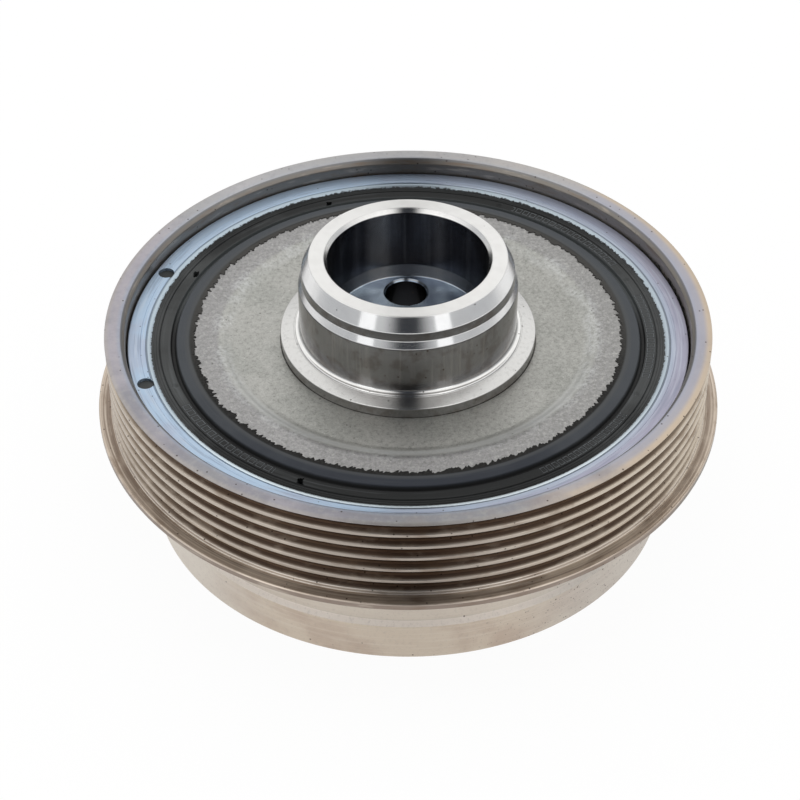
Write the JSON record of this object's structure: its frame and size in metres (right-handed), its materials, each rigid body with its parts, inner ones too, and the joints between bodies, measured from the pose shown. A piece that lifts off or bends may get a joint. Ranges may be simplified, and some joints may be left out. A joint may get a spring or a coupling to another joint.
{
  "type": "harmonic balancer",
  "caption": "Round crankshaft vibration damper: a ribbed belt pulley on a rubber decoupler around a flanged hub with a hollow nose, and a rubber-bonded iron inertia ring below.",
  "frame": {"origin": "centre of the front face of the inertia ring, on the crankshaft axis", "axes": "+Z along the crankshaft axis towards the engine, out of the hub's nose; +X and +Y lie in the front face, with the first bolt hole 2 degrees past +Y"},
  "size_m": [0.1568, 0.1568, 0.0704],
  "materials": {
    "machined_steel": "fine turned",
    "blasted_steel": "blasted, matt",
    "decoupler_rubber": "moulded, matt",
    "zinc_plated_steel": "blue zinc plate, satin",
    "pulley_steel": "turned, phosphated, lightly oiled",
    "bush_plastic": "satin",
    "damper_rubber": "moulded, matt",
    "cast_iron": "machined, satin"
  },
  "bodies": {
    "root": {"hub": "machined_steel", "decoupler_plate": "blasted_steel", "decoupler_rubber": "decoupler_rubber", "decoupler_ring": "zinc_plated_steel", "pulley": "pulley_steel", "guide_bush": "bush_plastic", "damper_rubber": "damper_rubber", "inertia_ring": "cast_iron"}
  },
  "joints": []
}
